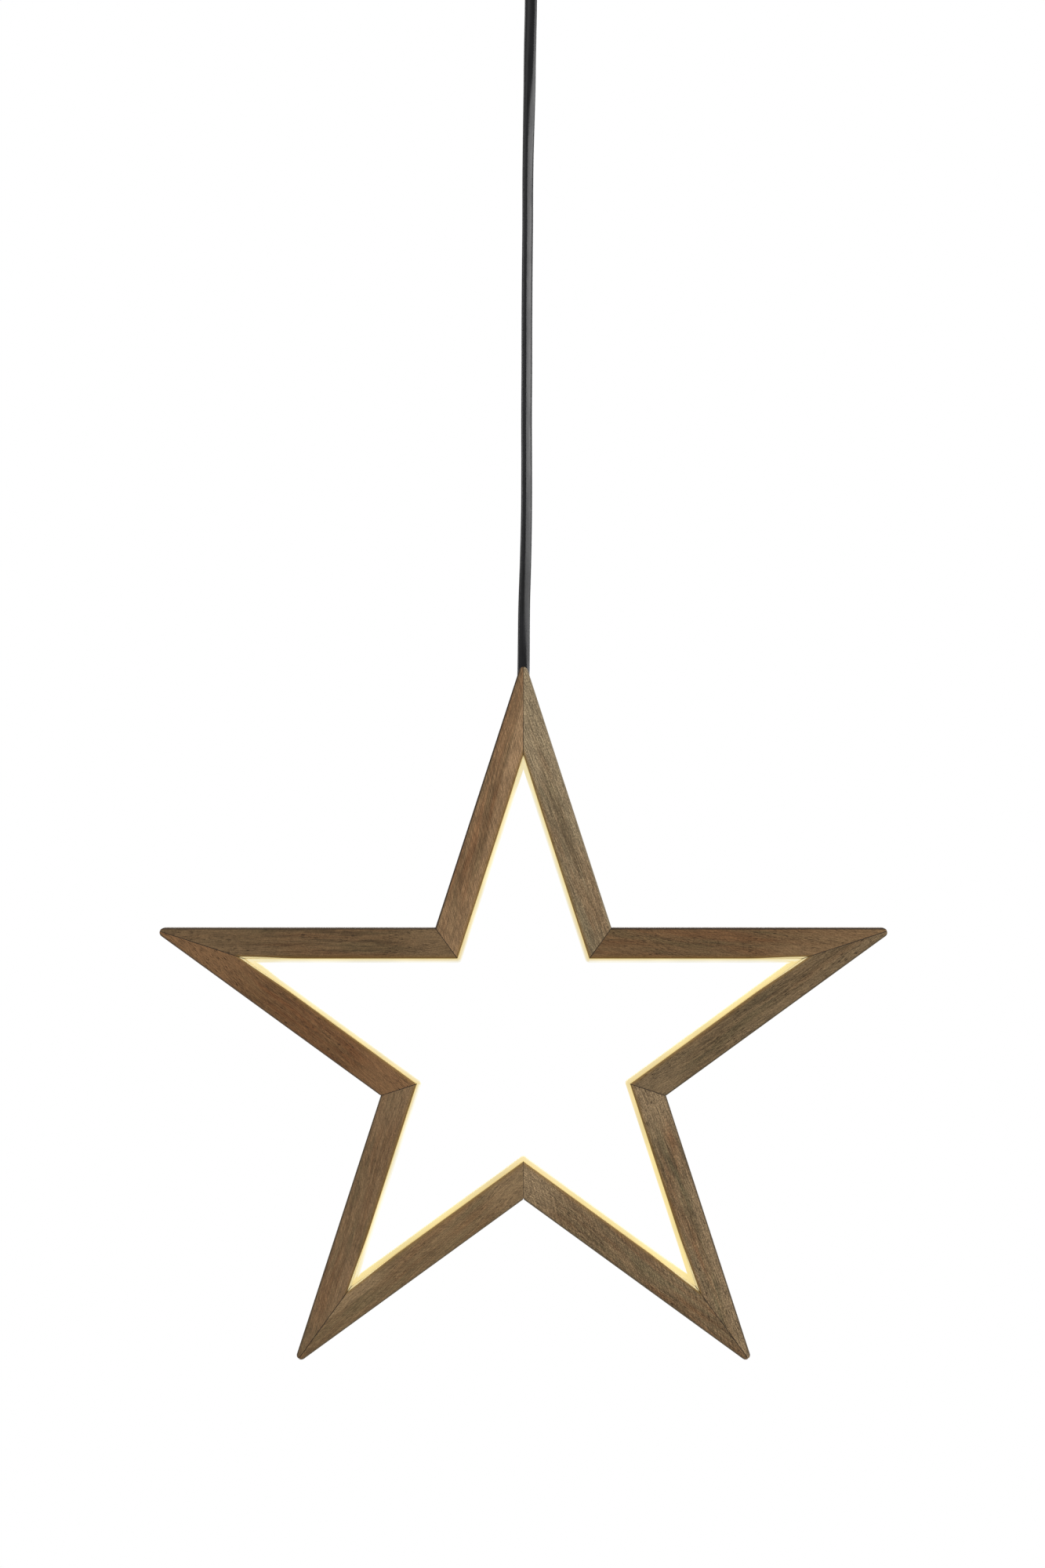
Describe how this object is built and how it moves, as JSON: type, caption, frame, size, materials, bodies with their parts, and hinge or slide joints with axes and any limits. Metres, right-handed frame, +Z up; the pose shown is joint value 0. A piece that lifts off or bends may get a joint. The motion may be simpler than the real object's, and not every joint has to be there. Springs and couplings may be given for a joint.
{
  "type": "hanging lighted star",
  "caption": "Hanging wooden star outline of mitred bars, lit by a warm light strip along its inner faces, on a flat black cord from a round ceiling cup",
  "frame": {"origin": "centre of the ceiling plate's upper face, on the ceiling that holds the part up", "axes": "+Z up; the star hangs below the origin, faces -Y and has its left arm towards -X"},
  "size_m": [0.399, 0.09, 0.795],
  "materials": {
    "stained_wood": "grey-brown stained, fine grain, matt",
    "black_pvc": "flexible, satin",
    "black_plastic": "moulded, matt",
    "black_nylon": "moulded, matt",
    "black_paint": "powder coated, satin",
    "white_plastic": "moulded, matt",
    "opal_silicone": "translucent, glowing warm white when lit",
    "light_strip": "white board with warm white light chips",
    "zinc_steel": "zinc plated",
    "brass": "bright",
    "brown_core": "flexible, satin",
    "blue_core": "flexible, satin",
    "red_lead": "flexible, satin",
    "black_lead": "flexible, satin"
  },
  "bodies": {
    "fitting": {"ceiling_cup": "black_paint", "ceiling_plate": "zinc_steel", "cord_grip": "black_plastic", "cord_head": "black_pvc", "cup_screw_left": "zinc_steel", "cup_screw_right": "zinc_steel", "driver_screw_left": "zinc_steel", "driver_screw_right": "zinc_steel", "grip_nut": "zinc_steel", "head_core_blue": "blue_core", "head_core_brown": "brown_core", "led_driver": "white_plastic", "mains_lead_blue": "blue_core", "mains_lead_brown": "brown_core", "pinch_screw": "black_nylon", "terminal_block": "white_plastic", "terminal_clamp_left_back": "brass", "terminal_clamp_left_front": "brass", "terminal_clamp_right_back": "brass", "terminal_clamp_right_front": "brass", "terminal_screw": "zinc_steel"},
    "neck": {"cord_neck": "black_pvc"},
    "cord": {"hanging_cord": "black_pvc"},
    "star": {"bar_left_lower": "stained_wood", "bar_left_upper": "stained_wood", "bar_lower_left_inner": "stained_wood", "bar_lower_left_outer": "stained_wood", "bar_lower_right_inner": "stained_wood", "bar_lower_right_outer": "stained_wood", "bar_right_lower": "stained_wood", "bar_right_upper": "stained_wood", "bar_top_left": "stained_wood", "bar_top_right": "stained_wood", "clamp_screw_left": "zinc_steel", "clamp_screw_right": "zinc_steel", "cord_clamp": "black_plastic", "cord_tail": "black_pvc", "led_cover": "opal_silicone", "led_strip": "light_strip", "splice_blue": "black_plastic", "splice_brown": "black_plastic", "strip_lead_black": "black_lead", "strip_lead_red": "red_lead", "tail_core_blue": "blue_core", "tail_core_brown": "brown_core", "tip_nail_left_inner": "zinc_steel", "tip_nail_left_outer": "zinc_steel", "tip_nail_lower_left_inner": "zinc_steel", "tip_nail_lower_left_outer": "zinc_steel", "tip_nail_lower_right_inner": "zinc_steel", "tip_nail_lower_right_outer": "zinc_steel", "tip_nail_right_inner": "zinc_steel", "tip_nail_right_outer": "zinc_steel", "waist_nail_left": "zinc_steel", "waist_nail_lower_left": "zinc_steel", "waist_nail_lower_right": "zinc_steel", "waist_nail_right": "zinc_steel", "waist_nail_top": "zinc_steel"}
  },
  "joints": [
    {"name": "swing_front", "type": "hinge", "parent": "fitting", "child": "neck", "pos_m": [0, 0, -0.038], "axis": [1, 0, 0], "range_deg": [-15, 15]},
    {"name": "swing_side", "type": "hinge", "parent": "neck", "child": "cord", "pos_m": [0, 0, -0.038], "axis": [0, 1, 0], "range_deg": [-15, 15]},
    {"name": "turn", "type": "hinge", "parent": "cord", "child": "star", "pos_m": [-0.00407, 0, -0.41239], "axis": [0, 0, 1], "range_deg": [-180, 180], "stiffness_Nm_per_rad": 0.004}
  ]
}
